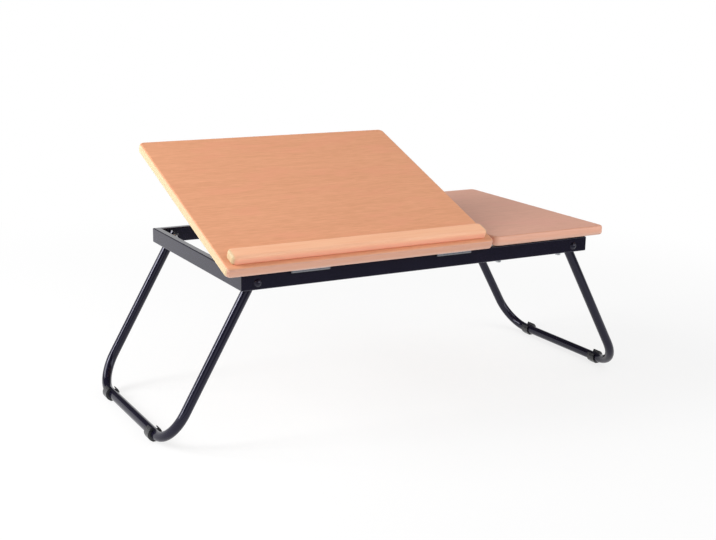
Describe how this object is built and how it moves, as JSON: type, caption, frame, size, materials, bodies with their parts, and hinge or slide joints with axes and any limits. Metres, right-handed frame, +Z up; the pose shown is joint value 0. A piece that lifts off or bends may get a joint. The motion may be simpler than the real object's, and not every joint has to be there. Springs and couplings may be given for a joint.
{
  "type": "folding laptop table",
  "caption": "Low folding table with a tilting reading panel and stop ledge, a fixed side panel, a box-tube frame and fold-in U-shaped tube legs on clip-on plastic feet.",
  "frame": {"origin": "on the floor, under the middle of the bounding box of the table as it stands with the panel tilted", "axes": "+X along the table's length towards the fixed side panel, +Y from the front, where the stop ledge is, to the rear, +Z up"},
  "size_m": [0.7106, 0.3222, 0.3344],
  "materials": {
    "beech_board": "satin beech foil on fibreboard, horizontal grain",
    "black_frame_paint": "gloss black powder coat",
    "zinc_fastener": "bright zinc",
    "black_plastic": "moulded, fine grain",
    "black_rubber": "matt"
  },
  "bodies": {
    "frame": {"front_rail": "black_frame_paint", "rear_rail": "black_frame_paint", "left_rail": "black_frame_paint", "right_rail": "black_frame_paint", "left_cross_bar": "black_frame_paint", "right_cross_bar": "black_frame_paint", "side_panel": "beech_board", "side_panel_spacers": "black_plastic", "side_panel_screws": "zinc_fastener", "rest_pads": "black_rubber", "left_hinge_frame_leaf": "zinc_fastener", "left_hinge_pin": "zinc_fastener", "right_hinge_frame_leaf": "zinc_fastener", "right_hinge_pin": "zinc_fastener", "hinge_frame_screws": "zinc_fastener", "pivot_bolts": "black_frame_paint", "pivot_washers": "zinc_fastener", "pivot_nuts": "zinc_fastener"},
    "tilting_panel": {"main_panel": "beech_board", "stop_ledge": "beech_board", "ledge_screws": "zinc_fastener", "left_hinge_panel_leaf": "zinc_fastener", "right_hinge_panel_leaf": "zinc_fastener", "hinge_panel_screws": "zinc_fastener"},
    "prop": {"prop_rod": "zinc_fastener", "prop_sleeve": "black_rubber", "prop_washers": "zinc_fastener"},
    "left_knob": {"left_prop_knob": "black_plastic"},
    "right_knob": {"right_prop_knob": "black_plastic"},
    "left_leg": {"left_leg_tube": "black_frame_paint", "left_leg_plugs": "black_plastic", "left_front_foot": "black_plastic", "left_rear_foot": "black_plastic"},
    "right_leg": {"right_leg_tube": "black_frame_paint", "right_leg_plugs": "black_plastic", "right_front_foot": "black_plastic", "right_rear_foot": "black_plastic"}
  },
  "joints": [
    {"name": "panel_tilt", "type": "hinge", "parent": "frame", "child": "tilting_panel", "pos_m": [0, -0.1505, 0.21233], "axis": [1, 0, 0], "range_deg": [-20.3, 9.7]},
    {"name": "prop_swing", "type": "hinge", "parent": "frame", "child": "prop", "pos_m": [-0.09025, -0.0205, 0.20513], "axis": [1, 0, 0], "range_deg": [-44.9, 21.5]},
    {"name": "left_knob_turn", "type": "hinge", "parent": "prop", "child": "left_knob", "pos_m": [-0.1345, -0.0205, 0.20513], "axis": [-1, 0, 0], "range_deg": [0, 180]},
    {"name": "right_knob_turn", "type": "hinge", "parent": "prop", "child": "right_knob", "pos_m": [-0.046, -0.0205, 0.20513], "axis": [1, 0, 0], "range_deg": [0, 180]},
    {"name": "left_leg_fold", "type": "hinge", "parent": "frame", "child": "left_leg", "pos_m": [-0.23596, 0.0026, 0.20163], "axis": [0, -1, 0], "range_deg": [0, 119.5]},
    {"name": "right_leg_fold", "type": "hinge", "parent": "frame", "child": "right_leg", "pos_m": [0.23596, 0.0026, 0.20163], "axis": [0, 1, 0], "range_deg": [0, 119.5]}
  ],
  "couplings": [
    {"joint": "prop_swing", "follows": "panel_tilt", "ratio": 2.21}
  ]
}
